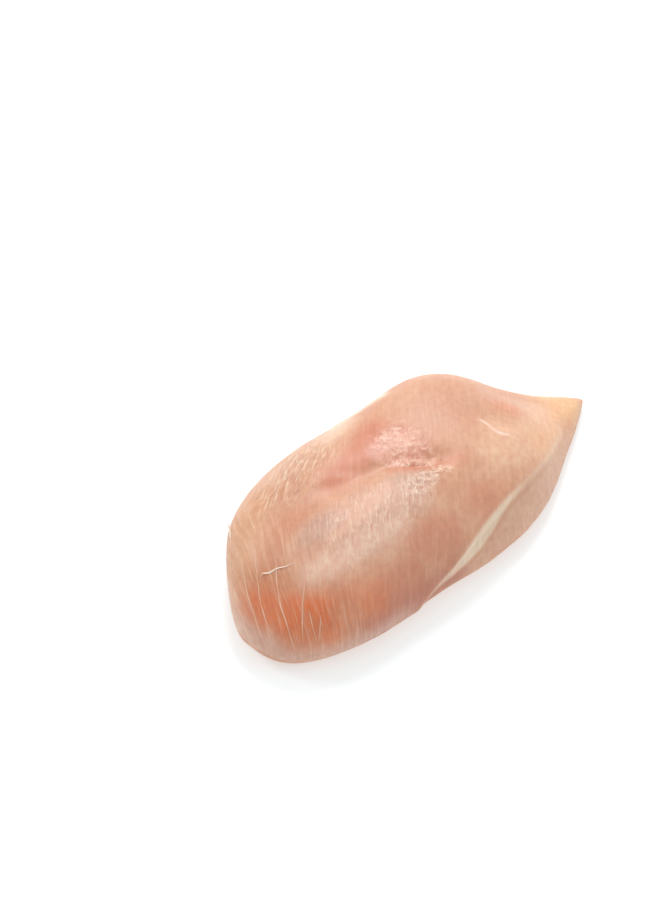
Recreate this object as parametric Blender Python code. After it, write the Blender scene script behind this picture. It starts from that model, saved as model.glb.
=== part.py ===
"""A raw, boneless chicken breast fillet, lying on its flat cut side.

Metres, +Z up. X runs from the blunt shoulder end at -X to the thin tip at +X.
+Y is the side with the thick outer rim, and -Y the side where the big lobe
overhangs a thin flap of muscle. The underside is flat at Z = 0, and the origin
is the bottom centre of the fillet's box.
"""

import bmesh
import bpy
import numpy as np

MM = 0.001

# Driving sizes of the whole fillet, in millimetres.
LENGTH = 185.0
WIDTH = 85.0
THICKNESS = 35.0

# How finely the fillet is divided along its length and around its section.
RINGS = 66
SEGMENTS = 80

# Cross sections, as shares of the length from the blunt end, in millimetres.
# Each column is the outline of the fillet as one such section after another.
SHARE_OF_LENGTH = (0.00, 0.02, 0.06, 0.13, 0.25, 0.40, 0.55, 0.70, 0.80, 0.88, 0.95, 0.985, 1.00)
NEAR_EDGE = (-8.0, -20.5, -28.0, -35.0, -39.5, -42.2, -44.0, -40.0, -32.5, -25.5, -18.8, -15.2, -13.0)
FAR_EDGE = (-8.0, 3.5, 14.0, 28.0, 38.8, 40.6, 38.0, 37.0, 28.0, 9.5, -3.5, -10.0, -13.0)
CROWN_SIDE = (-8.0, -6.5, -4.0, -0.5, 3.5, 6.0, 8.0, 9.0, 5.0, -4.0, -12.0, -13.0, -13.0)
CROWN_HEIGHT = (7.5, 15.0, 22.5, 29.5, 33.0, 34.0, 33.2, 31.2, 22.5, 12.0, 7.5, 5.0, 3.0)
NEAR_EDGE_HEIGHT = (7.5, 7.5, 7.5, 7.5, 6.5, 6.5, 6.5, 5.5, 4.5, 4.0, 3.0, 3.0, 3.0)
FAR_EDGE_HEIGHT = (7.5, 8.5, 10.0, 12.0, 13.0, 13.0, 12.0, 10.5, 9.0, 6.5, 4.0, 3.3, 3.0)
UNDERSIDE_HEIGHT = (7.5, 2.0, -0.5, -0.5, -0.5, -0.5, -0.5, -0.5, -0.5, -0.5, -0.5, 0.5, 3.0)

END_ROUNDING = 0.10  # how quickly the ends swell: smaller is blunter
CROWN_POWER = 2.5  # 2 is an elliptic section, higher is boxier
UNDERSIDE_POWER = 5.0

# Soft ridges and hollows of the muscle, seen from above: a path in X and Y,
# the height of the crest (negative for a hollow), and its half width, in mm.
MUSCLE_RELIEF = (
    ("valley inside the rim", ((-70, 13), (-58, 12), (-45, 10), (-33, 6), (-22, 2)), -1.7, 8.0),
    ("crease under the mound", ((-22, 3), (-13, 0), (-4, -6), (3, -10), (9, -13)), -1.0, 4.0),
    ("outer rim", ((-68, 22), (-56, 26), (-42, 30), (-25, 31), (-8, 28)), 0.3, 8.0),
    ("mound", ((-5, 10), (4, 6), (12, 1)), 1.1, 9.0),
    ("crest of the big lobe", ((-68, -7), (-52, -10), (-32, -14), (-12, -18), (6, -19)), 1.0, 11.0),
    ("dimple before the tip", ((33, -2), (37, -8), (43, -15)), -1.6, 6.0),
    ("hollow behind the tip", ((50, 0), (58, 5), (64, 10)), -1.2, 8.0),
)

# The lower edge of the big lobe along the near flank: X and height, in mm.
LOBE_EDGE = (
    (-52, -9), (-38, 5), (-30, 9.8), (-19, 13.4), (-8, 17), (6, 19.8), (22, 20.4), (36, 18.8), (51, 14.8), (69, 10),
    (92, 6),
)
FLAP_STEP = 1.6  # how far the flap lies behind the lobe's edge
LIP_SWELL = 0.4  # how far the lobe swells just above that edge
FLAP_BELLY = 0.4  # how far the flap swells again close to the floor

FLESH = (0.74, 0.42, 0.29, 1.0)


def smooth(low, high, value):
    """A smooth step from 0 at `low` to 1 at `high`."""
    t = np.clip((value - low) / (high - low), 0.0, 1.0)
    return t * t * (3.0 - 2.0 * t)


def spline(knots, values, at):
    """The natural cubic spline through `values` at `knots`, read at `at`."""
    knots = np.asarray(knots, float)
    values = np.asarray(values, float)
    count = len(knots)
    gap = np.diff(knots)
    slope = np.diff(values, axis=0) / gap.reshape((-1,) + (1,) * (values.ndim - 1))
    matrix = np.eye(count)
    bend = np.zeros_like(values)
    for i in range(1, count - 1):
        matrix[i, i - 1 : i + 2] = gap[i - 1], 2.0 * (gap[i - 1] + gap[i]), gap[i]
        bend[i] = 6.0 * (slope[i] - slope[i - 1])
    bend = np.linalg.solve(matrix, bend)
    at = np.asarray(at, float)
    i = np.clip(np.searchsorted(knots, at, side="right") - 1, 0, count - 2)
    wide = at.shape + (1,) * (values.ndim - 1)
    after = (at - knots[i]).reshape(wide)
    before = (knots[i + 1] - at).reshape(wide)
    step = gap[i].reshape(wide)
    curved = (bend[i] * before**3 + bend[i + 1] * after**3) / (6.0 * step)
    start = (values[i] / step - bend[i] * step / 6.0) * before
    end = (values[i + 1] / step - bend[i + 1] * step / 6.0) * after
    return curved + start + end


def share_at(along):
    """Share of the length passed at `along`, 0 to 1: slow at both round ends."""
    def swell(s):
        return s * s / (s + END_ROUNDING)

    return swell(along) / (swell(along) + swell(1.0 - along))


def fillet_form(along, angle):
    """The smooth body in mm, before any muscle relief.

    `along` goes from 0 at the blunt end to 1 at the tip. `angle` goes round the
    section: 0 is the near edge, a quarter turn the crown, a half turn the far
    edge. Above and below the two edges the section is a superellipse quarter.
    """
    table = np.array(
        (NEAR_EDGE, FAR_EDGE, CROWN_SIDE, CROWN_HEIGHT, NEAR_EDGE_HEIGHT, FAR_EDGE_HEIGHT, UNDERSIDE_HEIGHT)
    ).T
    fine = np.linspace(0.0, 1.0, 4001)
    knots = np.interp(SHARE_OF_LENGTH, share_at(fine), fine)
    section = np.moveaxis(spline(knots, table, along), -1, 0)
    near, far, crown_side, crown, near_height, far_height, underside = section
    across = np.cos(angle)
    y = crown_side + np.where(across > 0.0, near - crown_side, crown_side - far) * across
    edge = near_height + (far_height - near_height) * (1.0 - across) / 2.0
    above = edge + (crown - edge) * np.sqrt(np.maximum(0.0, 1.0 - np.abs(across) ** CROWN_POWER))
    below = edge + (underside - edge) * np.sqrt(np.maximum(0.0, 1.0 - np.abs(across) ** UNDERSIDE_POWER))
    z = np.where(np.sin(angle) >= 0.0, above, below)
    x = LENGTH * (share_at(along) - 0.5)
    return np.stack((x, y, np.maximum(z, 0.0)), axis=-1)


def soft_ridge(x, y, path, height, half_width):
    """Round bumps set close together along a smooth path, which add up to one ridge."""
    way = spline(np.linspace(0.0, 1.0, len(path)), path, np.linspace(0.0, 1.0, 24))
    spacing = np.linalg.norm(np.diff(way, axis=0), axis=1).mean()
    distance = np.hypot(x[..., None] - way[:, 0], y[..., None] - way[:, 1])
    bumps = np.exp(-((distance / half_width) ** 2)).sum(axis=-1)
    return height * bumps * spacing / (half_width * np.sqrt(np.pi))


def flap_relief(x, y, z):
    """Height of the near flank, where the big lobe overhangs the thin flap."""
    heights = np.array(LOBE_EDGE, float)
    edge = spline(heights[:, 0], heights[:, 1], np.clip(x, heights[0, 0], heights[-1, 0]))
    below = edge - z
    shelf = -FLAP_STEP * smooth(-0.6, 1.6, below) * smooth(15.0, 4.0, below)
    lip = LIP_SWELL * np.exp(-(((below + 2.2) / 2.0) ** 2))
    belly = FLAP_BELLY * np.exp(-(((z - 6.0) / 4.5) ** 2)) * smooth(2.0, 7.0, below)
    near_side = smooth(-4.0, -12.0, y)
    ends = smooth(-48.0, -18.0, x) * smooth(84.0, 52.0, x) * (0.5 + 0.5 * smooth(46.0, 14.0, x))
    return (shelf + lip + belly) * near_side * ends * smooth(0.0, 3.0, z)


def muscle_relief(points):
    """How far each point of the smooth body moves out along its normal, in mm."""
    x, y, z = np.moveaxis(points, -1, 0)
    crown = sum(soft_ridge(x, y, path, height, wide) for _, path, height, wide in MUSCLE_RELIEF)
    return crown * smooth(8.0, 22.0, z) + flap_relief(x, y, z)


def fitted(points):
    """Centred on the Z axis, standing on Z = 0 and exactly as large as the driving sizes."""
    low = points.min(axis=0)
    high = points.max(axis=0)
    middle = (low + high) / 2.0
    middle[2] = low[2]
    return (points - middle) * np.array((LENGTH, WIDTH, THICKNESS)) / (high - low)


def points_of(mesh):
    points = np.empty(len(mesh.vertices) * 3)
    mesh.vertices.foreach_get("co", points)
    return points.reshape(-1, 3)


def normals_of(mesh):
    normals = np.empty(len(mesh.vertices) * 3)
    mesh.vertices.foreach_get("normal", normals)
    return normals.reshape(-1, 3)


def move_points(mesh, points):
    mesh.vertices.foreach_set("co", points.ravel())
    mesh.update()


def fillet_mesh(name):
    """A ball whose poles become the two ends of the fillet, moulded into its form."""
    ball = bmesh.new()
    bmesh.ops.create_uvsphere(ball, u_segments=SEGMENTS, v_segments=RINGS, radius=1.0)
    mesh = bpy.data.meshes.new(name)
    ball.to_mesh(mesh)
    ball.free()
    on_ball = points_of(mesh)
    along = np.arccos(np.clip(-on_ball[:, 2], -1.0, 1.0)) / np.pi
    angle = np.arctan2(on_ball[:, 1], -on_ball[:, 0])
    body = fillet_form(along, angle)
    move_points(mesh, body)
    body += normals_of(mesh) * muscle_relief(body)[:, None]
    body[:, 2] = np.maximum(body[:, 2], 0.0)
    move_points(mesh, fitted(body) * MM)
    mesh.shade_smooth()
    return mesh


def flesh_material():
    material = bpy.data.materials.new("raw_flesh")
    material.use_nodes = True
    shader = material.node_tree.nodes["Principled BSDF"]
    shader.inputs["Base Color"].default_value = FLESH
    shader.inputs["Roughness"].default_value = 0.35
    shader.inputs["Metallic"].default_value = 0.0
    return material


def main():
    for old in list(bpy.data.objects):
        bpy.data.objects.remove(old, do_unlink=True)
    collection = bpy.data.collections.new("raw_chicken_breast")
    bpy.context.scene.collection.children.link(collection)
    mesh = fillet_mesh("chicken_breast")
    mesh.materials.append(flesh_material())
    collection.objects.link(bpy.data.objects.new("chicken_breast", mesh))


main()
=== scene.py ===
# %% [markdown]
# # A raw chicken breast fillet
#
# The object is one boneless, skinless breast fillet, lying on its flat cut side
# on a white table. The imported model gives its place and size. This script gives
# it what the eye looks for in raw meat: the soft lobes and their crease, the
# bundles of muscle fibre, the pale membrane along one flank, and the moist,
# slightly see-through surface.

import bmesh
import bpy
import numpy as np
from mathutils import Matrix, Vector


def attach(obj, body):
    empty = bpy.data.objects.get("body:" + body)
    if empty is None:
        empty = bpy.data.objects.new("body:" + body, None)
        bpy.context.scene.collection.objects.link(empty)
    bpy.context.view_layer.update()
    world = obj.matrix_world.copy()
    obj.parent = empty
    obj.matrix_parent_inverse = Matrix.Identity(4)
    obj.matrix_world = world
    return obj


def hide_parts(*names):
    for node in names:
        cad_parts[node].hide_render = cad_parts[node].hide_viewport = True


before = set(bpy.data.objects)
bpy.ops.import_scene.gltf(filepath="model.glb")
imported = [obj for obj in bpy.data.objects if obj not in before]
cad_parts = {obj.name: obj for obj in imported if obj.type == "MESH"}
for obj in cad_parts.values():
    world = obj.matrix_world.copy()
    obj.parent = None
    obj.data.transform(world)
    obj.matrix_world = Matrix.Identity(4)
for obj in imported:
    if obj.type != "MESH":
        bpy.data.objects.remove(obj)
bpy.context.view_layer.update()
MM = 0.001


# %% [markdown]
# ## The camera
#
# The fillet is seen from 45 degrees above the table, and its length runs from the
# lower left of the picture to the upper right. A long lens keeps its sides nearly
# parallel. The camera is placed by the point of the fillet that shows at a given
# pixel, so that the picture has the object where the photograph has it.

# %% Place the camera
PICTURE = (660, 900)
ELEVATION = np.radians(45.0)
TURN = np.radians(46.8)  # from the fillet's length to the picture's right
LENS = 85.0
FILM = 36.0
DISTANCE = 0.798
AIM = Vector((-0.0133, -0.0083, 0.011))
AIM_PIXEL = (402.0, 523.0)

right = Vector((np.cos(TURN), -np.sin(TURN), 0.0))
away = Vector((np.sin(TURN), np.cos(TURN), 0.0))
look = away * np.cos(ELEVATION) - Vector((0.0, 0.0, np.sin(ELEVATION)))
up = right.cross(look)
pixel = DISTANCE * FILM / LENS / PICTURE[1]
eye = (
    AIM
    - look * DISTANCE
    - right * (AIM_PIXEL[0] - PICTURE[0] / 2) * pixel
    + up * (AIM_PIXEL[1] - PICTURE[1] / 2) * pixel
)
camera_data = bpy.data.cameras.new("camera")
camera_data.lens = LENS
camera_data.sensor_width = FILM
camera_data.clip_start = 0.01
camera = bpy.data.objects.new("camera", camera_data)
camera.matrix_world = Matrix.Translation(eye) @ Matrix((right, up, -look)).transposed().to_4x4()
bpy.context.scene.collection.objects.link(camera)
bpy.context.scene.camera = camera
print("camera at", tuple(round(c, 3) for c in eye))


# %% [markdown]
# ## The table and the light
#
# The photograph is high key: a white table, a soft light above and behind the
# meat, and so much light from all round that the shadow is only a thin grey rim on
# the near side. An area light behind makes the sheen, a smaller one on the left
# grazes the fibres, a weak one on the right lifts the near flank, and a white
# world, bright above and behind and dimmer towards the camera, fills the rest. The
# table could be a plain white sheet, but then it takes on the pink of the meat and
# a deep shadow. So it is tinted slightly towards blue, and like a lit sweep in a
# studio it glows a little by itself, which keeps it white.

# %% The white table
FLOOR_HALF = 4.0
FLOOR_DROP = 0.00005  # keeps the table clear of the meat's flat underside
FLOOR_WHITE = 0.62
FLOOR_TINT = (0.94, 1.0, 1.02)  # shares of the white in red, green and blue
FLOOR_GLOW = 0.475
FLOOR_GLOW_TONE = (0.99, 1.0, 1.0, 1.0)

corners = [(x * FLOOR_HALF, y * FLOOR_HALF, 0.0) for x, y in ((-1, -1), (1, -1), (1, 1), (-1, 1))]
floor_mesh = bpy.data.meshes.new("table_top")
floor_mesh.from_pydata(corners, [], [(0, 1, 2, 3)])
floor = bpy.data.objects.new("table_top", floor_mesh)
floor.location.z = -FLOOR_DROP
bpy.context.scene.collection.objects.link(floor)
table_finish = bpy.data.materials.new("white_table")
table_finish.use_nodes = True
table_shader = table_finish.node_tree.nodes["Principled BSDF"]
table_shader.inputs["Base Color"].default_value = (*(FLOOR_WHITE * share for share in FLOOR_TINT), 1.0)
table_shader.inputs["Emission Color"].default_value = FLOOR_GLOW_TONE
table_shader.inputs["Emission Strength"].default_value = FLOOR_GLOW
table_shader.inputs["Roughness"].default_value = 0.85
table_shader.inputs["Specular IOR Level"].default_value = 0.1
floor_mesh.materials.append(table_finish)
print("a table", 2 * FLOOR_HALF, "m wide")

# %% The white surroundings
SURROUND_BRIGHT = 0.84  # above and behind the meat
SURROUND_DIM = 0.48  # low on the camera's side

world = bpy.data.worlds.new("white_surroundings")
world.use_nodes = True
sky = world.node_tree
sky_place = sky.nodes.new("ShaderNodeTexCoord")
towards_light = sky.nodes.new("ShaderNodeVectorMath")
towards_light.operation = "DOT_PRODUCT"
towards_light.inputs[1].default_value = (away * 0.6 + Vector((0.0, 0.0, 0.8))).normalized()
brightness = sky.nodes.new("ShaderNodeMapRange")
brightness.inputs["From Min"].default_value = -0.4
brightness.inputs["From Max"].default_value = 0.9
brightness.inputs["To Min"].default_value = SURROUND_DIM
brightness.inputs["To Max"].default_value = SURROUND_BRIGHT
sky.links.new(sky_place.outputs["Generated"], towards_light.inputs[0])
sky.links.new(towards_light.outputs["Value"], brightness.inputs["Value"])
sky.links.new(brightness.outputs["Result"], sky.nodes["Background"].inputs["Strength"])
sky.nodes["Background"].inputs["Color"].default_value = (1.0, 1.0, 1.0, 1.0)
bpy.context.scene.world = world
print("surroundings from", SURROUND_DIM, "to", SURROUND_BRIGHT)

# %% The soft lamps: place, size and power of each
BACK_LIGHT = (away * 0.62 + right * 0.02 + Vector((0.0, 0.0, 0.78)), 0.3, 4.2)
LEFT_LIGHT = (away * 0.25 - right * 0.75 + Vector((0.0, 0.0, 0.6)), 0.2, 1.5)
RIGHT_LIGHT = (right * 0.7 - away * 0.15 + Vector((0.0, 0.0, 0.5)), 0.4, 0.6)


def soft_lamp(name, place, size, power, aim=(0.0, 0.0, 0.015)):
    """A square area light that faces `aim`."""
    data = bpy.data.lights.new(name, "AREA")
    data.size = size
    data.energy = power
    lamp = bpy.data.objects.new(name, data)
    lamp.location = place
    lamp.rotation_euler = (Vector(aim) - Vector(place)).to_track_quat("-Z", "Y").to_euler()
    bpy.context.scene.collection.objects.link(lamp)
    return lamp


LAMPS = (("back_softbox", BACK_LIGHT), ("left_softbox", LEFT_LIGHT), ("right_softbox", RIGHT_LIGHT))
for name, (place, size, power) in LAMPS:
    soft_lamp(name, place, size, power)
bpy.context.scene.view_settings.view_transform = "Standard"
print(len(LAMPS), "lamps")


# %% [markdown]
# ## Helpers for shape
#
# Every soft form here is built from a few plain functions: a smooth step, a
# natural spline, a ridge of round bumps along a path, and a smooth random field.
# They work on whole arrays, so a surface of a hundred thousand points is quick.

# %% Smooth steps, splines, ridges and random fields
def smooth(low, high, value):
    """A step from 0 at `low` to 1 at `high`: 3t^2 - 2t^3 of the clipped share t."""
    t = np.clip((value - low) / (high - low), 0.0, 1.0)
    return t * t * (3.0 - 2.0 * t)


def spline(knots, values, at):
    """The natural cubic spline through `values` at `knots`, read at `at`.

    The second derivatives solve a three-banded system, and between two knots the
    curve is the usual sum of cubes and straight parts.
    """
    knots = np.asarray(knots, float)
    values = np.asarray(values, float)
    count = len(knots)
    gap = np.diff(knots)
    slope = np.diff(values, axis=0) / gap.reshape((-1,) + (1,) * (values.ndim - 1))
    matrix = np.eye(count)
    bend = np.zeros_like(values)
    for i in range(1, count - 1):
        matrix[i, i - 1 : i + 2] = gap[i - 1], 2.0 * (gap[i - 1] + gap[i]), gap[i]
        bend[i] = 6.0 * (slope[i] - slope[i - 1])
    bend = np.linalg.solve(matrix, bend)
    at = np.asarray(at, float)
    i = np.clip(np.searchsorted(knots, at, side="right") - 1, 0, count - 2)
    wide = at.shape + (1,) * (values.ndim - 1)
    after = (at - knots[i]).reshape(wide)
    before = (knots[i + 1] - at).reshape(wide)
    step = gap[i].reshape(wide)
    curved = (bend[i] * before**3 + bend[i + 1] * after**3) / (6.0 * step)
    start = (values[i] / step - bend[i] * step / 6.0) * before
    end = (values[i + 1] / step - bend[i + 1] * step / 6.0) * after
    return curved + start + end


def path_through(points, count):
    """`count` points along the smooth curve through `points`."""
    return spline(np.linspace(0.0, 1.0, len(points)), points, np.linspace(0.0, 1.0, count))


def soft_ridge(x, y, path, height, half_width):
    """Round bumps exp(-(distance / half width)^2) close together along a path, added up."""
    way = path_through(path, 30)
    spacing = np.linalg.norm(np.diff(way, axis=0), axis=1).mean()
    distance = np.hypot(x[..., None] - way[:, 0], y[..., None] - way[:, 1])
    bumps = np.exp(-((distance / half_width) ** 2)).sum(axis=-1)
    return height * bumps * spacing / (half_width * np.sqrt(np.pi))


def lattice(i, j, k, seed):
    """A fixed random number from -1 to 1 for each whole-number cell corner."""
    bits = (
        i.astype(np.uint32) * np.uint32(0x8DA6B343)
        ^ j.astype(np.uint32) * np.uint32(0xD8163841)
        ^ k.astype(np.uint32) * np.uint32(0xCB1AB31F)
        ^ np.uint32(seed * 7919 + 13)
    )
    bits ^= bits >> np.uint32(13)
    bits *= np.uint32(0x5BD1E995)
    bits ^= bits >> np.uint32(15)
    return bits / 2147483648.0 - 1.0


def field(points, size, seed=0):
    """A smooth random field with bumps about `size` across: corner values blended by smooth steps."""
    place = points / np.asarray(size, float) + 1000.0
    cell = np.floor(place).astype(np.int64)
    part = place - cell
    part = part * part * (3.0 - 2.0 * part)
    total = 0.0
    for corner in range(8):
        step = np.array((corner & 1, corner >> 1 & 1, corner >> 2 & 1))
        weight = np.where(step, part, 1.0 - part).prod(axis=-1)
        i, j, k = np.moveaxis(cell + step, -1, 0)
        total = total + weight * lattice(i, j, k, seed)
    return total


probe = field(np.random.default_rng(1).uniform(0, 100, (2000, 3)), 5.0)
print("random field from %.2f to %.2f" % (probe.min(), probe.max()))


# %% [markdown]
# ## The form of the fillet
#
# A breast muscle is a teardrop: a blunt, high shoulder end that thins to a flat
# tip. It could be sculpted from a ball, but here each section along the length is
# stated by a few sizes, and splines carry them from end to end. The sizes are
# those of the solid model, so the dressed fillet lies exactly where the solid is.

# %% The sections from the blunt end to the tip, in millimetres
LENGTH = 185.0
WIDTH = 85.0
THICKNESS = 35.0
SHARE_OF_LENGTH = (0.00, 0.02, 0.06, 0.13, 0.25, 0.40, 0.55, 0.70, 0.80, 0.88, 0.95, 0.985, 1.00)
NEAR_EDGE = (-8.0, -20.5, -28.0, -35.0, -39.5, -42.2, -44.0, -40.0, -32.5, -25.5, -18.8, -15.2, -13.0)
FAR_EDGE = (-8.0, 3.5, 14.0, 28.0, 38.8, 40.6, 38.0, 37.0, 28.0, 9.5, -3.5, -10.0, -13.0)
CROWN_SIDE = (-8.0, -6.5, -4.0, -0.5, 3.5, 6.0, 8.0, 9.0, 5.0, -4.0, -12.0, -13.0, -13.0)
CROWN_HEIGHT = (7.5, 15.0, 22.5, 29.5, 33.0, 34.0, 33.2, 31.2, 22.5, 12.0, 7.5, 5.0, 3.0)
NEAR_EDGE_HEIGHT = (7.5, 7.5, 7.5, 7.5, 6.5, 6.5, 6.5, 5.5, 4.5, 4.0, 3.0, 3.0, 3.0)
FAR_EDGE_HEIGHT = (7.5, 8.5, 10.0, 12.0, 13.0, 13.0, 12.0, 10.5, 9.0, 6.5, 4.0, 3.3, 3.0)
UNDERSIDE_HEIGHT = (7.5, 2.0, -0.5, -0.5, -0.5, -0.5, -0.5, -0.5, -0.5, -0.5, -0.5, 0.5, 3.0)
END_ROUNDING = 0.10  # how quickly the ends swell: smaller is blunter
CROWN_POWER = 2.5  # 2 is an elliptic section, higher is boxier
UNDERSIDE_POWER = 5.0


def share_at(along):
    """Share of the length passed at `along`: s^2 / (s + rounding), slow at both round ends."""
    def swell(s):
        return s * s / (s + END_ROUNDING)

    return swell(along) / (swell(along) + swell(1.0 - along))


def fillet_form(along, angle):
    """The smooth body: each section is two superellipse quarters above and two below its edges.

    `along` runs from 0 at the blunt end to 1 at the tip; `angle` from the near
    edge over the crown to the far edge and back under the body.
    """
    table = np.array(
        (NEAR_EDGE, FAR_EDGE, CROWN_SIDE, CROWN_HEIGHT, NEAR_EDGE_HEIGHT, FAR_EDGE_HEIGHT, UNDERSIDE_HEIGHT)
    ).T
    fine = np.linspace(0.0, 1.0, 4001)
    knots = np.interp(SHARE_OF_LENGTH, share_at(fine), fine)
    section = np.moveaxis(spline(knots, table, along), -1, 0)
    near, far, crown_side, crown, near_height, far_height, underside = section
    across = np.cos(angle)
    y = crown_side + np.where(across > 0.0, near - crown_side, crown_side - far) * across
    edge = near_height + (far_height - near_height) * (1.0 - across) / 2.0
    above = edge + (crown - edge) * np.sqrt(np.maximum(0.0, 1.0 - np.abs(across) ** CROWN_POWER))
    below = edge + (underside - edge) * np.sqrt(np.maximum(0.0, 1.0 - np.abs(across) ** UNDERSIDE_POWER))
    z = np.where(np.sin(angle) >= 0.0, above, below)
    x = LENGTH * (share_at(along) - 0.5)
    return np.stack((x, y, np.maximum(z, 0.0)), axis=-1)


# %% A fine grid over the whole fillet
ROWS = 336  # grid rows along the fillet
UPPER = 200  # grid columns over the crown, where the light falls
LOWER = 88  # grid columns under the body

over_crown = np.linspace(0.0, np.pi, UPPER, endpoint=False)
under_body = np.linspace(np.pi, 2.0 * np.pi, LOWER, endpoint=False)
around = np.concatenate((over_crown, under_body))
along_rows = np.linspace(0.0, 1.0, ROWS + 2)
ALONG, ANGLE = np.meshgrid(along_rows, around, indexing="ij")
body = fillet_form(ALONG, ANGLE)
print("grid of", ROWS, "rows and", len(around), "columns")


def outward(points):
    """Unit normals of a closed grid: the cross product of its two directions of travel."""
    down_rows = np.gradient(points, axis=0)
    round_section = np.roll(points, -1, axis=1) - np.roll(points, 1, axis=1)
    normal = np.cross(down_rows, round_section)
    size = np.linalg.norm(normal, axis=-1, keepdims=True)
    normal = normal / np.maximum(size, 1e-9)
    normal[0] = (-1.0, 0.0, 0.0)
    normal[-1] = (1.0, 0.0, 0.0)
    return normal


# %% [markdown]
# ## The muscle relief
#
# Seen from above, a valley runs inside the thick outer rim and sharpens to a
# crease under a small mound. On the near flank the big lobe overhangs a thinner
# flap of muscle. These are soft ridges and hollows along paths, pushed out along
# the surface normals. They are the same as on the solid.

# %% Ridges, hollows and the flap, in millimetres
MUSCLE_RELIEF = (
    ("valley inside the rim", ((-70, 13), (-58, 12), (-45, 10), (-33, 6), (-22, 2)), -1.7, 8.0),
    ("crease under the mound", ((-22, 3), (-13, 0), (-4, -6), (3, -10), (9, -13)), -1.0, 4.0),
    ("outer rim", ((-68, 22), (-56, 26), (-42, 30), (-25, 31), (-8, 28)), 0.3, 8.0),
    ("mound", ((-5, 10), (4, 6), (12, 1)), 1.1, 9.0),
    ("crest of the big lobe", ((-68, -7), (-52, -10), (-32, -14), (-12, -18), (6, -19)), 1.0, 11.0),
    ("dimple before the tip", ((33, -2), (37, -8), (43, -15)), -1.6, 6.0),
    ("hollow behind the tip", ((50, 0), (58, 5), (64, 10)), -1.2, 8.0),
)
# The lower edge of the big lobe along the near flank: X and height.
LOBE_EDGE = (
    (-52, -9), (-38, 5), (-30, 9.8), (-19, 13.4), (-8, 17), (6, 19.8), (22, 20.4), (36, 18.8),
    (51, 14.8), (69, 10), (92, 6),
)
FLAP_STEP = 1.6  # how far the flap lies behind the lobe's edge
LIP_SWELL = 0.4  # how far the lobe swells just above that edge
FLAP_BELLY = 0.4  # how far the flap swells again close to the floor


def below_lobe(x, z):
    """How far a point of the near flank lies below the lower edge of the big lobe."""
    heights = np.array(LOBE_EDGE, float)
    return spline(heights[:, 0], heights[:, 1], np.clip(x, heights[0, 0], heights[-1, 0])) - z


def flap_relief(x, y, z):
    """The flank steps back below the lobe's edge and swells again close to the floor."""
    below = below_lobe(x, z)
    shelf = -FLAP_STEP * smooth(-0.6, 1.6, below) * smooth(15.0, 4.0, below)
    lip = LIP_SWELL * np.exp(-(((below + 2.2) / 2.0) ** 2))
    belly = FLAP_BELLY * np.exp(-(((z - 6.0) / 4.5) ** 2)) * smooth(2.0, 7.0, below)
    near_side = smooth(-4.0, -12.0, y)
    ends = smooth(-48.0, -18.0, x) * smooth(84.0, 52.0, x) * (0.5 + 0.5 * smooth(46.0, 14.0, x))
    return (shelf + lip + belly) * near_side * ends * smooth(0.0, 3.0, z)


X, Y, Z = np.moveaxis(body, -1, 0)
crown = smooth(8.0, 22.0, Z)
relief = sum(soft_ridge(X, Y, path, height, wide) for _, path, height, wide in MUSCLE_RELIEF)
relief = relief * crown + flap_relief(X, Y, Z)
print("muscle relief from %.2f to %.2f mm" % (relief.min(), relief.max()))


# %% [markdown]
# ## The grain of the muscle
#
# The fibres of a breast run slantwise across it and fan out over the blunt end.
# Two numbers at every point describe that grain: how far across the fibres it
# lies, and how far along them. A stretched random field read at those numbers
# makes bundles that follow the muscle.

# %% Across and along the fibres
GRAIN_SLOPE = 0.94  # rise in Y for each step in X along a fibre
FAN_START = -52.0  # where the fibres start to fan out, towards the blunt end
FAN_RATE = 0.036  # how quickly their slope changes from there

fan = np.maximum(FAN_START - X, 0.0)
ACROSS = 0.73 * (Y - GRAIN_SLOPE * X + 0.5 * FAN_RATE * fan**2) + 0.7 * field(body, 13.0, 2)
ALONG_GRAIN = 0.73 * X + 0.68 * Y + 0.6 * Z
GRAIN = np.stack((ACROSS, ALONG_GRAIN, 0.35 * Z), axis=-1)
# The rim's wrinkles run about 25 degrees off the length: across them, then along them.
WRINKLE = np.stack((0.91 * Y - 0.42 * X, 0.91 * X + 0.42 * Y, Z), axis=-1)
print("grain from %.0f to %.0f mm across" % (ACROSS.min(), ACROSS.max()))


# %% [markdown]
# ## Where each kind of flesh shows
#
# Raw breast isn't one colour. Blood leaves rosy and orange patches, thin edges
# look amber where light comes through them, a membrane greys the crest, and the
# strip of white membrane borders the flap. Other patches are painted light and
# shade: a painted sheen over that membrane, painted highlights along the big lobe
# and on the rim, painted light through the thin tip and on its near side, painted
# shade in the hollow, the crease and the dimple, on two slopes and low on the near
# flank, and painted bounce light from the table along the lowest edge. Each is a
# soft patch from 0 to 1 over the surface, made with the same ridges as the
# relief, and the material reads them by name.

# %% A soft patch, and the strip of membrane
def patch(path, half_width, low, high):
    """A smooth step, from `low` to `high`, of a ridge 1 high along a path in plan."""
    return smooth(low, high, soft_ridge(X, Y, path, 1.0, half_width))


upper_side = smooth(2.0, 9.0, Z) * (np.sin(ANGLE) > -0.2)
below = below_lobe(X, Z)
near_flank = smooth(-6.0, -14.0, Y)
uneven = field(body, 9.0, 3)
finer = field(body, 3.5, 4)
STRIP_UPPER = 1.1  # how far above the lobe's lower edge the strip starts
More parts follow.
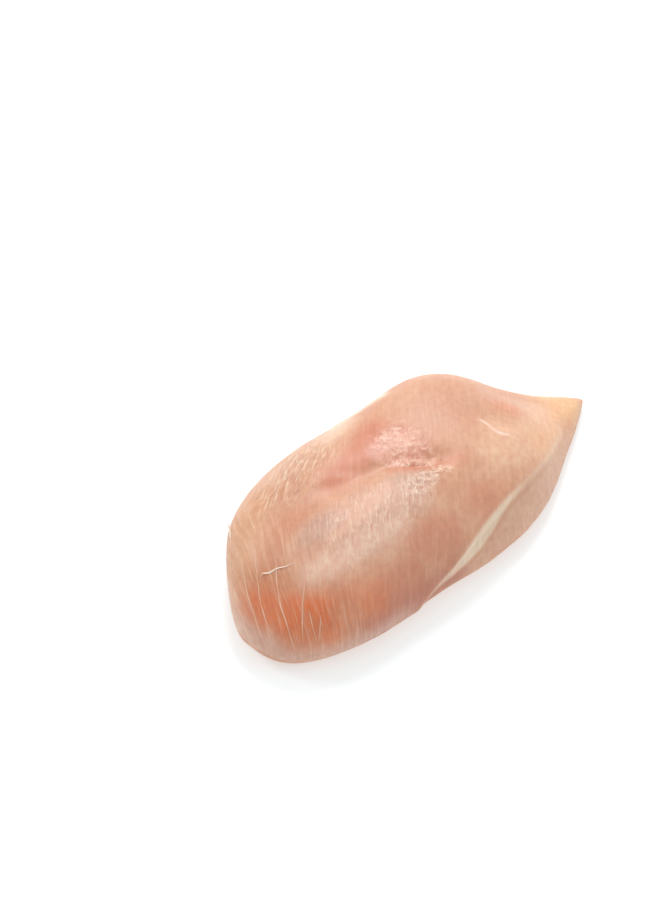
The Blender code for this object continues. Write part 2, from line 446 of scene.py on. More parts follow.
# The strip along the near flank: X and width.
STRIP_WIDTH = (
    (-42, 0.5), (-34, 1.8), (-26, 3.4), (-18, 4.8), (-10, 5.6), (-4, 5.6), (3, 4.6), (10, 2.8),
    (16, 1.5), (24, 0.9), (78, 0.8),
)
strip_sizes = np.array(STRIP_WIDTH, float)
strip_width = np.interp(X, strip_sizes[:, 0], strip_sizes[:, 1])
depth_in_strip = below + STRIP_UPPER
strip = smooth(-0.6, 0.6, depth_in_strip) * smooth(1.4, -0.8, depth_in_strip - strip_width)
strip *= (0.5 + 0.5 * smooth(-34.0, -10.0, X)) * near_flank * smooth(-44.0, -38.0, X)
strip *= (0.45 + 0.55 * smooth(28.0, 14.0, X)) * smooth(84.0, 50.0, X)
print("the strip is up to %.1f mm wide" % strip_width.max())

# %% Patches of colour, of painted light and shade, and of moisture
# The veil on the crest: partly a grey membrane, partly a painted sheen from the back lamp.
veil_and_sheen = np.maximum(
    patch(((-62, -15), (-48, -16), (-37, -18), (-27, -16), (-17, -16), (-12, -16)), 8.5, 0.0, 1.0),
    0.6 * patch(((-58, -5), (-47, -5), (-37, -4), (-27, -7), (-17, -9)), 6.5, 0.0, 1.1),
)
mound = patch(((-10, 4), (-6, 8), (1, 10), (6, 8), (6, 1), (3, -5), (-3, -3), (-8, 1)), 5.5, 0.0, 1.2)
# Places on the mound that catch the light: glossier, and with painted glints.
glossy = np.max(
    (
        patch(((3, 11), (7, 9)), 3.6, 0.0, 1.0),
        patch(((-3, 11), (-1, 7)), 2.6, 0.0, 1.0),
        patch(((-5, 1), (0, 1)), 3.2, 0.0, 1.0),
        patch(((3, -3), (5, -7)), 3.6, 0.0, 1.0),
        0.8 * patch(((-11, 0), (-5, -5), (2, -11)), 1.8, 0.0, 1.0),
    ),
    axis=0,
)
lower_lip = patch(((-17, -17), (-11, -15), (-6, -15), (0, -15), (5, -16)), 3.6, 0.0, 1.1)
rim_folds = patch(((-55, 21), (-47, 23), (-37, 25), (-27, 26), (-19, 25)), 10.0, 0.0, 1.3)

PATCHES = {
    "deep_crown": patch(((8, 14), (18, 4), (30, 6), (42, 3)), 13.0, 0.1, 0.9),
    "pink_fold": patch(((-36, 9), (-25, 10), (-14, 10), (-5, 14), (4, 18)), 7.0, 0.0, 1.0),
    "mound": mound,
    # painted shade: a deeper tone in the hollow inside the rim
    "hollow": patch(((-75, -4), (-66, 3), (-58, 8), (-50, 8), (-42, 9)), 6.5, 0.1, 0.9),
    "rosy": np.maximum(
        patch(((-83, 1), (-86, -8), (-82, -17), (-75, -25), (-69, -29)), 8.5, 0.0, 1.0),
        0.55 * patch(((-70, -27), (-60, -33), (-50, -34)), 7.5, 0.0, 1.0),
    ) * (0.9 + 0.2 * finer),
    "flush": np.max(
        (
            patch(((-56, -34), (-42, -35), (-32, -36)), 6.0, 0.1, 0.9),
            patch(((-32, -29), (-20, -33), (-10, -33)), 7.0, 0.1, 0.9),
            patch(((3, -30), (12, -33)), 7.0, 0.1, 0.9),
        ),
        axis=0,
    ),
    "amber": patch(((-80, 10), (-70, 19), (-58, 25), (-48, 29)), 7.0, 0.0, 1.0),
    "tip_amber": smooth(62.0, 88.0, X),
    # painted light coming through the thin tip
    "tip_edge_painted_light": smooth(68.0, 88.0, X),
    # painted highlight on the top of the outer rim
    "rim_painted_highlight": patch(((-46, 27), (-32, 28), (-16, 28), (2, 31)), 6.0, 0.1, 0.9) * smooth(12.0, 22.0, Z),
    # paler near side towards the tip: partly paler flesh, partly painted light on that side
    "tip_side_pale_and_painted_light": patch(((18, -26), (30, -21), (40, -24), (51, -25), (62, -17), (70, -8)), 10.0, 0.1, 0.9),
    # partly grey membrane, partly painted sheen
    "veil_and_sheen": veil_and_sheen,
    "flap": smooth(0.5, 3.0, depth_in_strip - strip_width) * near_flank * smooth(-46.0, -38.0, X),
    # paler band along the lowest edge: partly the thin pale margin, partly painted bounce light from the
    # white table
    "margin_and_bounce_light": np.maximum(
        smooth(15.0, 5.0, Z) * smooth(-30.0, -52.0, X),
        0.8 * smooth(-84.0, -91.0, X) * smooth(20.0, 12.0, Z),
    ),
    # darker grey on two slopes that the back light falls on: partly grey membrane, partly painted shade
    "slope_grey_and_painted_shade": np.maximum(
        patch(((-62, -5), (-52, -3), (-43, -4)), 6.5, 0.0, 1.0),
        patch(((-17, -7), (-10, -12), (-3, -15)), 4.0, 0.0, 1.0),
    ),
    # painted highlight: a paler band along the big lobe where the light falls
    "lobe_painted_highlight": patch(
        ((-71, -13), (-63, -16), (-55, -18), (-46, -19), (-36, -20), (-26, -22)), 5.0, 0.0, 1.2
    ),
    "peach": patch(((-79, 10), (-78, 3), (-77, -4), (-73, -9)), 6.0, 0.0, 1.0),
    "near_amber": patch(((84, -12), (76, -13), (66, -19), (54, -24), (44, -27)), 5.0, 0.0, 1.0),
    # painted shade in the dimple, in a rosy tone
    "dimple_rosy_painted_shade": patch(((46, -5), (50, -8), (52, -12)), 5.0, 0.0, 1.0),
    "dimple_line": patch(((33.5, -7.5), (33.5, -12.2), (33.5, -16.6), (36.5, -19.9)), 0.8, 0.0, 1.0),
    # painted shade along the crease under the mound
    "crease_painted_shade": patch(((-13, -1.5), (-8, -6), (-2, -10.5), (5, -13.5), (13, -16.5)), 2.6, 0.0, 1.0),
    "rim_line": patch(((-8, 32), (4, 33), (14, 32.5), (22, 31)), 2.5, 0.0, 1.0) * smooth(23.0, 26.5, Z),
    # deeper tone low on the near flank: partly rosier flesh, partly painted shade
    "flank_rosy_and_painted_shade": smooth(20.0, 12.0, Z) * smooth(-8.0, -20.0, X) * smooth(-74.0, -60.0, X) * near_flank,
    "fibrous": np.maximum(0.22, np.maximum(veil_and_sheen, smooth(-50.0, -66.0, X))),
    "folds": rim_folds,
    "wet": np.max((0.4 * mound, glossy, 0.9 * lower_lip), axis=0),
}
# All of them fade out towards the underside. The strip has its own limits.
for values in PATCHES.values():
    values *= upper_side
PATCHES["strip"] = strip
for name, values in PATCHES.items():
    print("%-10s covers %.0f%% of the grid" % (name, 100 * (values > 0.5).mean()))


# %% [markdown]
# ## Fine relief
#
# Up close the surface carries bundles of fibre, wrinkles on the rim, wet lumps of
# connective tissue on the mound and a sharp line in the crease. All are under a
# millimetre high. The lumps could be scattered balls, but a random field with its
# sign taken off gives the same round heads and narrow creases, and it never
# repeats or overlaps.

# %% Bundles, wrinkles, lumps and the crease line, in millimetres
BUNDLE_HEIGHT = 0.10
WRINKLE_HEIGHT = 0.30
FOLD_HEIGHT = 0.25
CREASE_DEPTH = 0.3
CREASE_ROUGHNESS = 0.6
UNEVEN_HEIGHT = 0.2
FINER_HEIGHT = 0.06
STRIP_HEIGHT = 0.25


def lumps(points, size, seed):
    """Round lumps with narrow creases between them: the size of a random field without its sign."""
    return np.abs(field(points, size, seed))


bundles = field(GRAIN, (1.7, 26.0, 9.0), 11) + 0.5 * field(GRAIN, (0.9, 14.0, 6.0), 12)
fine = BUNDLE_HEIGHT * bundles * PATCHES["fibrous"]
wrinkles = field(WRINKLE, (1.3, 3.6, 5.0), 13) + 0.5 * field(WRINKLE, (0.8, 2.0, 3.0), 14)
fine += WRINKLE_HEIGHT * wrinkles * rim_folds * upper_side
inner_fold = ((-58, 18), (-51, 18), (-46, 15.5), (-40, 14), (-34, 12.5), (-28, 8), (-21, 3))
broken = smooth(-0.5, 0.5, field(body, 6.0, 15))
fine += soft_ridge(X, Y, inner_fold, FOLD_HEIGHT, 2.2) * broken * crown
nodules = 0.9 * lumps(body, (4.2, 4.2, 6.0), 21) + 0.5 * lumps(body, (1.9, 1.9, 3.0), 22)
fine += nodules * (0.14 * mound + 0.26 * glossy + 0.1 * lower_lip) * crown
crease = ((-24, 4), (-12.5, 0.5), (-7, -5), (-2, -10), (3, -12), (6, -13.5))
fine -= soft_ridge(X, Y, crease, CREASE_DEPTH, 1.2) * broken * crown
fine += CREASE_ROUGHNESS * field(body, 4.0, 16) * soft_ridge(X, Y, crease, 1.0, 4.0) * crown
fine += (UNEVEN_HEIGHT * uneven + FINER_HEIGHT * finer) * smooth(1.0, 6.0, Z)
fine += STRIP_HEIGHT * strip
print("fine relief from %.2f to %.2f mm" % (fine.min(), fine.max()))


# %% Move the points out and fit them to the model's box
moved = body + outward(body) * (relief + fine)[..., None]
moved[..., 2] = np.maximum(moved[..., 2], 0.0)
plain = body + outward(body) * relief[..., None]
low = plain.reshape(-1, 3).min(axis=0)
high = plain.reshape(-1, 3).max(axis=0)
middle = np.array(((low[0] + high[0]) / 2.0, (low[1] + high[1]) / 2.0, 0.0))
fit = np.array((LENGTH, WIDTH, THICKNESS)) / np.array((high[0] - low[0], high[1] - low[1], high[2]))
surface = (moved - middle) * fit
print("fit to the box:", np.round(middle, 2), np.round(fit, 4))


# %% [markdown]
# ## From grid to mesh
#
# The grid closes round the section, and its first and last rows are single
# points, the two ends of the fillet. Quads join neighbouring rows, and a fan of
# triangles closes each end.

# %% Build the fillet's mesh and store the patches on it
def closed_body(name, points):
    """A mesh from a grid that is closed round its columns and pinched at its first and last rows."""
    rows, columns = points.shape[:2]
    inner = points[1:-1].reshape(-1, 3)
    vertices = np.concatenate((inner, points[0, :1], points[-1, :1]))
    row = np.arange(rows - 3)[:, None] * columns
    column = np.arange(columns)[None, :]
    after = (column + 1) % columns
    quads = np.stack((row + column, row + after, row + columns + after, row + columns + column), -1)
    column = column[0]
    after = after[0]
    last = (rows - 3) * columns
    start = np.stack((np.full(columns, len(inner)), after, column), -1)
    end = np.stack((np.full(columns, len(inner) + 1), last + column, last + after), -1)
    mesh = bpy.data.meshes.new(name)
    faces = quads.reshape(-1, 4)[:, ::-1].tolist() + start[:, ::-1].tolist() + end[:, ::-1].tolist()
    mesh.from_pydata(vertices.tolist(), [], faces)
    mesh.shade_smooth()
    return mesh


def on_vertices(values):
    """The grid's values in the order of the mesh's vertices."""
    return np.concatenate((values[1:-1].reshape((-1,) + values.shape[2:]), values[0, :1], values[-1, :1]))


fillet_mesh = closed_body("chicken_breast_fillet", surface * MM)
for name, values in PATCHES.items():
    store = fillet_mesh.attributes.new(name, "FLOAT", "POINT")
    store.data.foreach_set("value", on_vertices(np.clip(values, 0.0, 1.0)).astype(np.float32))
for name, places in (("grain", GRAIN), ("wrinkle", WRINKLE)):
    store = fillet_mesh.attributes.new(name, "FLOAT_VECTOR", "POINT")
    store.data.foreach_set("vector", (on_vertices(places) * MM).astype(np.float32).ravel())
fillet = bpy.data.objects.new("chicken_breast_fillet", fillet_mesh)
bpy.context.scene.collection.objects.link(fillet)
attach(fillet, "root")
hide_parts("chicken_breast")
print("fillet:", len(fillet_mesh.vertices), "points,", len(fillet_mesh.polygons), "faces")


# %% [markdown]
# ## Effects shared by the materials
#
# Muscle shows as fine pale streaks along the grain and as cloudy, darker and
# paler spots. Each effect is a node group, so that it can be placed several times,
# in the flesh and in the membrane, with other values each time.

# %% Node groups for streaks and clouds
def group(name, inputs, outputs):
    """An empty shader node group with named sockets and its two end nodes."""
    tree = bpy.data.node_groups.new(name, "ShaderNodeTree")
    for label, kind, value in inputs:
        socket = tree.interface.new_socket(label, in_out="INPUT", socket_type=kind)
        if value is not None:
            socket.default_value = value
    for label, kind in outputs:
        tree.interface.new_socket(label, in_out="OUTPUT", socket_type=kind)
    return tree, tree.nodes.new("NodeGroupInput"), tree.nodes.new("NodeGroupOutput")


def node(tree, kind, **settings):
    """A node with its settings; a key that names an input socket sets or links it."""
    made = tree.nodes.new(kind)
    for key, value in settings.items():
        if key in made.inputs:
            if isinstance(value, bpy.types.NodeSocket):
                tree.links.new(value, made.inputs[key])
            else:
                made.inputs[key].default_value = value
        else:
            setattr(made, key, value)
    return made


def arithmetic(tree, operation, first, second=0.0, clamp=False):
    """One Math node; each term is a number or a socket."""
    made = tree.nodes.new("ShaderNodeMath")
    made.operation = operation
    made.use_clamp = clamp
    for socket, value in zip(made.inputs, (first, second)):
        if isinstance(value, bpy.types.NodeSocket):
            tree.links.new(value, socket)
        else:
            socket.default_value = value
    return made.outputs[0]


def mixed(tree, share, first, second, blend="MIX"):
    """One colour Mix node; share is a number or a socket, and so is each colour."""
    made = tree.nodes.new("ShaderNodeMix")
    made.data_type = "RGBA"
    made.blend_type = blend
    made.clamp_factor = True
    for socket, value in ((made.inputs[0], share), (made.inputs[6], first), (made.inputs[7], second)):
        if isinstance(value, bpy.types.NodeSocket):
            tree.links.new(value, socket)
        else:
            socket.default_value = value
    return made.outputs[2]


def streak_group():
    """Streaks: one noise stretched along the grain and squeezed across it, sharpened by a ramp."""
    tree, enter, leave = group(
        "muscle_streaks",
        (
            ("Grain", "NodeSocketVector", None),
            ("Across", "NodeSocketFloat", 900.0),
            ("Along", "NodeSocketFloat", 40.0),
            ("Waviness", "NodeSocketFloat", 0.0),
        ),
        (("Streaks", "NodeSocketFloat"), ("Height", "NodeSocketFloat")),
    )
    scale = node(tree, "ShaderNodeCombineXYZ", X=enter.outputs["Across"], Y=enter.outputs["Along"], Z=60.0)
    place = tree.nodes.new("ShaderNodeVectorMath")
    place.operation = "MULTIPLY"
    tree.links.new(enter.outputs["Grain"], place.inputs[0])
    tree.links.new(scale.outputs[0], place.inputs[1])
    noise = node(tree, "ShaderNodeTexNoise", Vector=place.outputs[0], Scale=1.0, Detail=3.0, Roughness=0.55)
    tree.links.new(enter.outputs["Waviness"], noise.inputs["Distortion"])
    ramp = node(tree, "ShaderNodeMapRange", Value=noise.outputs["Fac"])
    ramp.inputs["From Min"].default_value = 0.52
    ramp.inputs["From Max"].default_value = 0.72
    tree.links.new(ramp.outputs[0], leave.inputs["Streaks"])
    tree.links.new(noise.outputs["Fac"], leave.inputs["Height"])
    return tree


def cloud_group():
    """Clouds: broad and fine noise on the object's own coordinates, centred on a half."""
    tree, enter, leave = group(
        "cloudy_flesh",
        (("Broad", "NodeSocketFloat", 70.0), ("Fine", "NodeSocketFloat", 420.0)),
        (("Clouds", "NodeSocketFloat"), ("Specks", "NodeSocketFloat")),
    )
    place = tree.nodes.new("ShaderNodeTexCoord")
    for label, output in (("Broad", "Clouds"), ("Fine", "Specks")):
        noise = node(
            tree, "ShaderNodeTexNoise", Vector=place.outputs["Object"], Scale=enter.outputs[label], Detail=3.0
        )
        ramp = node(tree, "ShaderNodeMapRange", Value=noise.outputs["Fac"])
        ramp.inputs["From Min"].default_value = 0.3
        ramp.inputs["From Max"].default_value = 0.7
        tree.links.new(ramp.outputs[0], leave.inputs[output])
    return tree


STREAKS = streak_group()
CLOUDS = cloud_group()
print("node groups:", STREAKS.name, "and", CLOUDS.name)


# %% [markdown]
# ## Raw flesh
#
# The material starts from pale muscle and lays each patch over it in its own
# colour, painted light and shade among them. Pale streaks follow the grain; on the
# rim's wrinkles and in the sheen they are painted highlights. The same patterns as
# an overlay deepen the tone between them, which on the wrinkles, the sheen and the
# wet lumps is painted shade. The wet places, the wrinkles and the sheen get small
# pale painted glints, which stand for reflections too fine for the bump to make.
# Light enters the meat and spreads, red furthest, so subsurface scattering softens
# every edge. Moisture is a low roughness with a thin coat, strongest on the wet
# lumps.

# %% The tones of the flesh
def tone(red, green, blue):
    """A colour from 0 to 255 as the eye sees it, turned to the light values that nodes use."""
    part = np.array((red, green, blue)) / 255.0
    linear = np.where(part <= 0.04045, part / 12.92, ((part + 0.055) / 1.055) ** 2.4)
    return (*linear.tolist(), 1.0)


PALE_MUSCLE = tone(214, 164, 134)
DEEP_MUSCLE = tone(209, 151, 120)
STREAK = tone(240, 210, 186)
# the tone of the painted glints
PAINTED_GLINT = tone(255, 234, 214)
STRIP_DEEP = tone(214, 184, 156)
STRIP_PALE = tone(244, 222, 198)
# Each patch with its tone and how strongly it covers what lies under it.
PATCH_TONES = (
    ("deep_crown", tone(206, 152, 125), 0.65),
    ("pink_fold", tone(200, 116, 86), 0.75),
    ("mound", tone(206, 136, 114), 0.66),
    # painted shade in the hollow
    ("hollow", tone(196, 132, 100), 0.75),
    ("amber", tone(212, 160, 122), 0.8),
    ("tip_amber", tone(224, 168, 122), 0.8),
    # painted light through the thin tip
    ("tip_edge_painted_light", tone(240, 204, 160), 0.85),
    # painted highlight on the rim's top
    ("rim_painted_highlight", tone(230, 196, 170), 0.75),
    ("flush", tone(200, 122, 94), 0.5),
    ("rosy", tone(224, 112, 54), 0.85),
    # partly paler flesh, partly painted light
    ("tip_side_pale_and_painted_light", tone(230, 185, 154), 0.8),
    # partly the membrane's grey, partly painted sheen
    ("veil_and_sheen", tone(210, 170, 150), 0.75),
    ("folds", tone(212, 154, 118), 0.75),
    ("flap", tone(216, 172, 146), 0.85),
    ("near_amber", tone(234, 180, 138), 0.5),
    # painted shade in the dimple
    ("dimple_rosy_painted_shade", tone(220, 146, 118), 0.55),
    ("dimple_line", tone(246, 216, 200), 0.7),
    # painted shade in the crease
    ("crease_painted_shade", tone(200, 120, 90), 0.6),
    # partly membrane grey, partly painted shade
    ("slope_grey_and_painted_shade", tone(176, 134, 114), 0.6),
    # painted highlight along the big lobe
    ("lobe_painted_highlight", tone(240, 206, 184), 0.6),
    ("peach", tone(200, 130, 88), 0.5),
    # partly rosier flesh, partly painted shade
    ("flank_rosy_and_painted_shade", tone(180, 106, 86), 0.65),
    ("rim_line", tone(250, 216, 188), 0.7),
    # partly pale margin, partly painted bounce light
    ("margin_and_bounce_light", tone(214, 186, 172), 0.75),
)
print(len(PATCH_TONES), "patches with a tone")

# %% The patterns in the flesh
flesh = bpy.data.materials.new("raw_flesh_moist")
flesh.use_nodes = True
tree = flesh.node_tree
shader = tree.nodes["Principled BSDF"]


def named(label):
    """The socket that reads a stored patch."""
    return node(tree, "ShaderNodeAttribute", attribute_name=label).outputs["Fac"]


def streaked(place, across, along, waviness=0.0):
    """The streak group on a stored place, so many streaks a metre across and along."""
    return node(
        tree, "ShaderNodeGroup", node_tree=STREAKS, Grain=place, Across=across, Along=along, Waviness=waviness
    )


grain_place = node(tree, "ShaderNodeAttribute", attribute_name="grain").outputs["Vector"]
wrinkle_place = node(tree, "ShaderNodeAttribute", attribute_name="wrinkle").outputs["Vector"]
clouds = node(tree, "ShaderNodeGroup", node_tree=CLOUDS)
granules = node(tree, "ShaderNodeGroup", node_tree=CLOUDS, Broad=420.0, Fine=1100.0)
fine_streaks = streaked(grain_place, 1000.0, 70.0)
broad_streaks = streaked(grain_place, 430.0, 45.0)
flecks = streaked(grain_place, 1200.0, 260.0, 0.8)
ripples = streaked(wrinkle_place, 950.0, 170.0, 0.9)
print("patterns:", len(tree.nodes), "nodes so far")

# %% The colour of the flesh, from the base up to the painted glints
colour = mixed(tree, clouds.outputs["Clouds"], PALE_MUSCLE, DEEP_MUSCLE)
uneven_edge = arithmetic(tree, "MULTIPLY_ADD", clouds.outputs["Specks"], 0.2)
uneven_edge.node.inputs[2].default_value = 0.9
for label, paint, strength in PATCH_TONES:
    share = arithmetic(tree, "MULTIPLY", named(label), uneven_edge)
    colour = mixed(tree, arithmetic(tree, "MULTIPLY", share, strength), colour, paint)
for pattern, strength in ((fine_streaks, 0.32), (broad_streaks, 0.22)):
    share = arithmetic(tree, "MULTIPLY", pattern.outputs["Streaks"], named("fibrous"))
    colour = mixed(tree, arithmetic(tree, "MULTIPLY", share, strength), colour, STREAK)
for grey, strength in (
    (fine_streaks.outputs["Height"], 0.11),
    (clouds.outputs["Specks"], 0.06),
    (granules.outputs["Clouds"], 0.03),
):
    colour = mixed(tree, strength, colour, grey, "OVERLAY")
# Painted light and shade: the overlay brightens the ridges and darkens the gaps of the rim's wrinkles, the
# sheen's flecks and the wet lumps.
for grey, label, strength in (
    (ripples.outputs["Height"], "folds", 0.5),
    (flecks.outputs["Height"], "veil_and_sheen", 0.3),
    (granules.outputs["Clouds"], "wet", 0.12),
):
    colour = mixed(tree, arithmetic(tree, "MULTIPLY", named(label), strength), colour, grey, "OVERLAY")
# Painted highlights: pale streaks on the rim's wrinkles, and pale flecks that make the painted sheen.
for pattern, label, strength in ((flecks, "veil_and_sheen", 0.6), (ripples, "folds", 1.0)):
    share = arithmetic(tree, "MULTIPLY", pattern.outputs["Streaks"], named(label))
    colour = mixed(tree, arithmetic(tree, "MULTIPLY", share, strength), colour, STREAK)


def beyond(socket, edge, gain):
    """How far a socket passes an edge, times a gain, from 0 to 1: clamp((value - edge) * gain)."""
    step = arithmetic(tree, "MULTIPLY_ADD", socket, gain, clamp=True)
    step.node.inputs[2].default_value = -edge * gain
    return step


# Painted glints: small pale spots on the wet lumps, the rim's wrinkles and the sheen, in place of
# reflections.
blobs = beyond(granules.outputs["Clouds"], 0.42, 2.2)
sparks = beyond(granules.outputs["Specks"], 0.5, 3.5)
for label, first, second, strength in (
    ("wet", blobs, clouds.outputs["Specks"], 0.45),
    ("wet", sparks, clouds.outputs["Specks"], 0.9),
    ("folds", sparks, ripples.outputs["Streaks"], 0.6),
    ("veil_and_sheen", sparks, flecks.outputs["Streaks"], 0.4),
):
    share = arithmetic(tree, "MULTIPLY", arithmetic(tree, "MULTIPLY", first, second), named(label))
    colour = mixed(tree, arithmetic(tree, "MULTIPLY", share, strength), colour, PAINTED_GLINT)
membrane_paint = mixed(tree, fine_streaks.outputs["Height"], STRIP_DEEP, STRIP_PALE)
colour = mixed(tree, named("strip"), colour, membrane_paint)
tree.links.new(colour, shader.inputs["Base Color"])
print("with its colour:", len(tree.nodes), "nodes")


# %% Moisture, light inside the meat, and relief
def summed(terms, start=0.0):
    """The sum of socket times number over all terms, plus a start value."""
    total = start
    for socket, factor in terms:
        step = arithmetic(tree, "MULTIPLY_ADD", socket, factor)
        if isinstance(total, bpy.types.NodeSocket):
            tree.links.new(total, step.node.inputs[2])
        else:
            step.node.inputs[2].default_value = total
        total = step
    return total


dryness = summed(
    (
        (clouds.outputs["Specks"], 0.1),
        (named("wet"), -0.14),
        (named("veil_and_sheen"), -0.07),
        (named("folds"), -0.14),
    ),
    start=0.42,
)
tree.links.new(dryness, shader.inputs["Roughness"])
tree.links.new(summed(((named("wet"), 0.1),), start=0.03), shader.inputs["Coat Weight"])
shader.inputs["Coat Roughness"].default_value = 0.15
shader.inputs["Subsurface Weight"].default_value = 0.35
shader.inputs["Subsurface Radius"].default_value = (1.0, 0.5, 0.35)
shader.inputs["Subsurface Scale"].default_value = 0.003

height = summed((
    (arithmetic(tree, "MULTIPLY", fine_streaks.outputs["Height"], named("fibrous")), 0.8),
    (arithmetic(tree, "MULTIPLY", flecks.outputs["Height"], named("veil_and_sheen")), 0.7),
    (arithmetic(tree, "MULTIPLY", ripples.outputs["Height"], named("folds")), 3.4),
    (arithmetic(tree, "MULTIPLY", granules.outputs["Clouds"], named("wet")), 0.6),
    (arithmetic(tree, "MULTIPLY", granules.outputs["Specks"], named("wet")), 0.25),
    (clouds.outputs["Specks"], 0.06),
))
bump = node(tree, "ShaderNodeBump", Height=height, Strength=0.8, Distance=0.0006)
tree.links.new(bump.outputs["Normal"], shader.inputs["Normal"])
fillet_mesh.materials.append(flesh)
print("flesh material with", len(tree.nodes), "nodes")


# %% [markdown]
# ## Threads of membrane
#
# Thin threads of connective tissue lie on the blunt end, one curls loose over it, a
# longer one follows the far rim, and a torn nub of membrane stands up at the blunt
# end. They could be painted on, as the strip is, but each has a real edge that
# catches light. So each is a fine tube, flatter than it is wide and sunk by half,
# whose middle line is laid on the fillet: every point of the path takes the nearest
# point of the grid and keeps its offset along the skin.

# %% Lay a path on the fillet and sweep a flat thread along it
FLATNESS = 0.45  # how high a thread is for its width
SWELLING = 0.45  # how much its width varies
WANDER = 0.25  # how far it strays sideways, in mm

skin = outward(surface)


def laid(path, count):
    """Points on the fillet under a smooth path, with their normals.

    The path is in the millimetres of the plain form. Its points move with the
    nearest grid point, plus their own offset freed of its part along the normal.
    """
    way = path_through(path, count)
    on_form = body.reshape(-1, 3)
    nearest = np.array([np.argmin(((on_form - point) ** 2).sum(axis=1)) for point in way])
    normal = skin.reshape(-1, 3)[nearest]
    offset = way - on_form[nearest]
    offset -= normal * (offset * normal).sum(axis=1, keepdims=True)
    point = surface.reshape(-1, 3)[nearest] + offset
    for _ in range(2):
        point[1:-1] = (point[:-2] + 2.0 * point[1:-1] + point[2:]) / 4.0
        normal[1:-1] = (normal[:-2] + 2.0 * normal[1:-1] + normal[2:]) / 4.0
    return point, normal / np.linalg.norm(normal, axis=1, keepdims=True)


def thread(path, half_width, lift=0.0, count=70, sides=10):
    """A closed tube on the skin: middle + half width times (cos(a) sideways + sin(a) flatness outwards).

    The half width follows sin(pi t)^0.6 along the thread, so that both ends taper
    to a point, and swells and thins a little on the way. `lift` raises the thread
    off the skin by so much at even steps along it.
    """
    middle, normal = laid(path, count)
    t = np.linspace(0.0, 1.0, count)
    raised = np.interp(t, np.linspace(0.0, 1.0, np.size(lift)), np.atleast_1d(lift))
    forward = np.gradient(middle, axis=0)
    sideways = np.cross(normal, forward)
    sideways /= np.linalg.norm(sideways, axis=1, keepdims=True)
    wide = half_width * np.maximum(np.sin(np.pi * t), 0.0) ** 0.6
    wide *= 1.0 + SWELLING * field(middle, 4.0, 31)
    middle += sideways * WANDER * field(middle, 5.0, 32)[:, None]
    angle = np.linspace(0.0, 2.0 * np.pi, sides, endpoint=False)
    ring = (
        np.cos(angle)[None, :, None] * sideways[:, None, :]
        + FLATNESS * np.sin(angle)[None, :, None] * normal[:, None, :]
    )
    centre = middle + normal * raised[:, None]
    return centre[:, None, :] + wide[:, None, None] * ring


def joined_bodies(name, grids):
    """One mesh from several closed grids."""
    parts = [closed_body(name, grid * MM) for grid in grids]
    whole = bmesh.new()
    for mesh in parts:
        whole.from_mesh(mesh)
        bpy.data.meshes.remove(mesh)
    bmesh.ops.recalc_face_normals(whole, faces=whole.faces)
    mesh = bpy.data.meshes.new(name)
    whole.to_mesh(mesh)
    whole.free()
    mesh.shade_smooth()
    return mesh


def dressed(name, mesh, material):
    """An object for the mesh, in the scene, that rides on the fillet's body."""
    piece = bpy.data.objects.new(name, mesh)
    bpy.context.scene.collection.objects.link(piece)
    mesh.materials.append(material)
    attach(piece, "root")
    return piece


print("paths can be laid on", skin.shape[0] * skin.shape[1], "grid points")


# %% The membrane's two tones: stained where it lies flat, pale where it is loose
def membrane_finish(name, pale, deep):
    """Moist membrane: cloudy between a pale and a deep tone, a little see-through."""
    finish = bpy.data.materials.new(name)
    finish.use_nodes = True
    tree = finish.node_tree
    shader = tree.nodes["Principled BSDF"]
    clouds = node(tree, "ShaderNodeGroup", node_tree=CLOUDS, Broad=160.0, Fine=900.0)
    colour = mixed(tree, clouds.outputs["Clouds"], pale, deep)
    tree.links.new(colour, shader.inputs["Base Color"])
    roughness = arithmetic(tree, "MULTIPLY_ADD", clouds.outputs["Specks"], 0.12)
    roughness.node.inputs[2].default_value = 0.3
    tree.links.new(roughness, shader.inputs["Roughness"])
    shader.inputs["Subsurface Weight"].default_value = 0.4
    shader.inputs["Subsurface Radius"].default_value = (1.0, 0.7, 0.55)
    shader.inputs["Subsurface Scale"].default_value = 0.001
    bump = node(tree, "ShaderNodeBump", Height=clouds.outputs["Specks"], Strength=0.3, Distance=0.0002)
    tree.links.new(bump.outputs["Normal"], shader.inputs["Normal"])
    return finish


laid_membrane = membrane_finish("membrane_thread", tone(250, 196, 166), tone(238, 164, 132))
loose_membrane = membrane_finish("membrane_loose", tone(255, 232, 212), tone(244, 202, 176))
print("membrane materials:", laid_membrane.name, "and", loose_membrane.name)

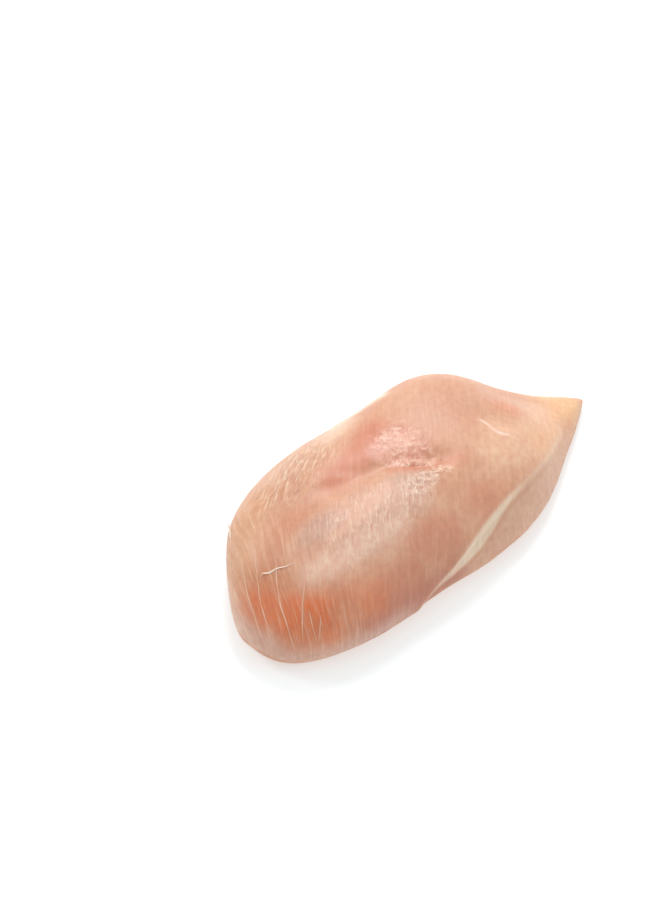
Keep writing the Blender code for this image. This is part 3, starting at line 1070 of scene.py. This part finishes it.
# %% Threads over the blunt end: half width and path of each, in millimetres
BLUNT_END_THREADS = (
    (0.28, (
        (-67, 27, 20.3), (-71.4, 23, 20.2), (-78, 16.6, 17.5),
        (-85.2, 7.6, 14.2), (-90.5, -1.8, 11.4),
    )),
    (0.22, (
        (-74.4, 14.5, 23.8), (-78, 9.8, 22.8), (-86.4, -3.4, 17.8),
        (-89.4, -9.9, 14.1), (-90.7, -15.8, 9.4),
    )),
    (0.26, (
        (-69.5, 11.8, 27.9), (-78.3, 1.7, 24.5), (-84, -5.4, 20.2),
        (-87.2, -12.1, 16.5), (-88.7, -17.8, 12.1),
    )),
    (0.30, (
        (-69.1, 1.2, 29.3), (-76.2, -6.3, 26), (-81.4, -13.5, 21.7),
        (-84.3, -20.2, 16.3), (-85.2, -23.6, 10.7),
    )),
    (0.26, (
        (-63.7, -7.4, 30.6), (-70.7, -14.5, 27.5), (-75.9, -18.7, 23.7),
        (-80.1, -22.3, 18.7), (-82.4, -25.1, 12.8),
    )),
    (0.22, ((-75.5, -21.3, 22.6), (-77.6, -24.6, 18.6), (-78.7, -27.6, 12.9))),
    (0.20, ((-73.3, -25.1, 21.1), (-76.6, -27.1, 16.4), (-78.3, -28.2, 12.0))),
)
threads = [thread(path, half_width) for half_width, path in BLUNT_END_THREADS]
dressed("membrane_threads", joined_bodies("membrane_threads", threads), laid_membrane)
print(len(threads), "threads")

# %% The loose curl, the torn nub and the thread on the far rim
CURL = (
    (-77.8, -0.2, 25.0), (-76.6, 0.3, 25.8), (-75.4, -1.6, 26.4),
    (-73.0, -3.0, 27.6), (-70.6, -5.6, 28.6), (-67.6, -6.9, 29.6),
)
NUB = ((-69.0, 25.4, 20.2), (-67.5, 26.8, 20.6), (-66.0, 27.8, 20.8), (-65.0, 28.8, 21.2))
RIM_THREAD = ((-4.0, 33.0, 27.5), (6.0, 33.5, 27.5), (16.0, 33.0, 27.8), (25.0, 30.5, 28.5))
curl = thread(CURL, 0.32, lift=(0.1, 0.3, 0.0, 0.3, 0.0))
nub = thread(NUB, 0.55, lift=(-0.1, 0.1, 0.8, 2.0))
rim_thread = thread(RIM_THREAD, 0.30, lift=-0.09)
dressed("loose_membrane", joined_bodies("loose_membrane", (curl, nub, rim_thread)), loose_membrane)
print("a curl, a nub and a thread on the rim")
